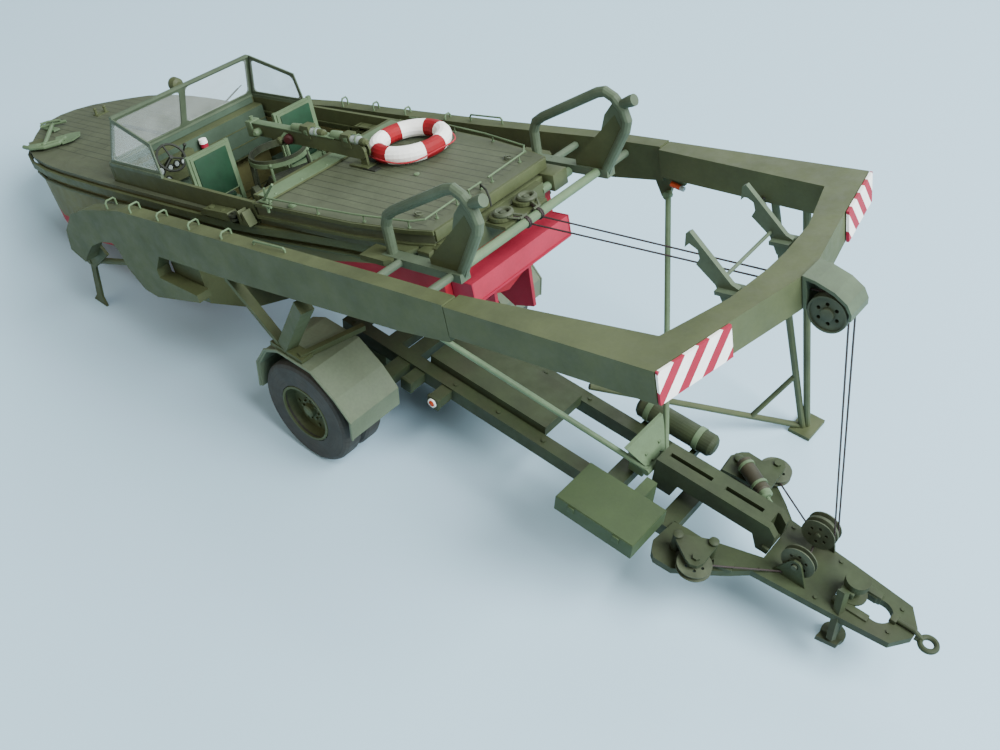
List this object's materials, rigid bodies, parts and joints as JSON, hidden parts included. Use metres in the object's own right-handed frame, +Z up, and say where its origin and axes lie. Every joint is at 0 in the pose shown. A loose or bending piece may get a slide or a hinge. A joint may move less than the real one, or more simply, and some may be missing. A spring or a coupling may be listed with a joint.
{
  "type": "card scale model of a river push motorboat on its launching trailer",
  "caption": "Card model of an open-cockpit motorboat held in a tilted U-shaped cradle frame on a two-wheel launching trailer with drawbar, jack and props.",
  "frame": {"origin": "centre of the bounding box on the floor", "axes": "+X towards the towing eye, along the trailer; +Y to the boat's starboard side; +Z up"},
  "size_m": [0.4388, 0.1428, 0.1376],
  "materials": {
    "hull_card": "printed matte card",
    "tyre_card": "printed matte card",
    "clear_sheet": "clear film",
    "seat_card": "printed matte card",
    "buoy_card": "printed matte card",
    "striped_card": "printed matte card",
    "red_card": "printed matte card",
    "dark_card": "printed matte card",
    "sheave_card": "printed matte card",
    "olive_card": "printed matte card",
    "black_thread": "twisted thread"
  },
  "bodies": {
    "model": {"aft_deck": "olive_card", "air_tank": "olive_card", "anchor": "olive_card", "apex_housing": "olive_card", "apex_sheave": "sheave_card", "axle": "olive_card", "bottle": "red_card", "carriage": "olive_card", "centre_beam": "olive_card", "chassis_frame": "olive_card", "cockpit_coaming": "olive_card", "cradle_beam": "olive_card", "drawbar": "olive_card", "engine": "dark_card", "far_drawbar_sheave": "sheave_card", "foredeck": "olive_card", "frame_arm_left": "olive_card", "frame_arm_right": "olive_card", "frame_front": "olive_card", "hook_arms": "olive_card", "hoop_cross_tube": "olive_card", "hull": "hull_card", "jack": "olive_card", "lifebuoy": "buoy_card", "mast_heel_lug": "olive_card", "mudguard_left": "olive_card", "mudguard_right": "olive_card", "mudguard_struts_left": "olive_card", "mudguard_struts_right": "olive_card", "near_drawbar_sheave": "sheave_card", "push_hoop_left": "olive_card", "push_hoop_right": "olive_card", "push_rods": "olive_card", "rear_prop_left": "olive_card", "rear_prop_right": "olive_card", "rope_left": "black_thread", "rope_right": "black_thread", "seat_left": "seat_card", "seat_right": "seat_card", "side_pane_left": "clear_sheet", "side_pane_right": "clear_sheet", "side_sheave_left": "sheave_card", "side_sheave_right": "sheave_card", "spotlight": "olive_card", "steering_wheel": "dark_card", "stern_block": "olive_card", "stern_sill": "hull_card", "stripe_plate_left": "striped_card", "stripe_plate_right": "striped_card", "support_leg": "olive_card", "toolbox": "olive_card", "towing_eye": "olive_card", "tray": "olive_card", "upper_rubbing_strake": "olive_card", "windscreen_frame": "olive_card", "windscreen_pane_left": "clear_sheet", "windscreen_pane_right": "clear_sheet"},
    "wheel_pair_left": {"wheels_left": "tyre_card"},
    "wheel_pair_right": {"wheels_right": "tyre_card"},
    "folding_mast": {"mast": "olive_card"}
  },
  "joints": [
    {"name": "wheels_left_spin", "type": "hinge", "parent": "model", "child": "wheel_pair_left", "pos_m": [0.00228, -0.058, 0.02105], "axis": [0, 1, 0], "continuous": true},
    {"name": "wheels_right_spin", "type": "hinge", "parent": "model", "child": "wheel_pair_right", "pos_m": [0.00228, 0.0288, 0.02105], "axis": [0, 1, 0], "continuous": true},
    {"name": "mast_fold", "type": "hinge", "parent": "model", "child": "folding_mast", "pos_m": [-0.01273, -0.0146, 0.0998], "axis": [0, 1, 0], "range_deg": [0, 90]}
  ]
}
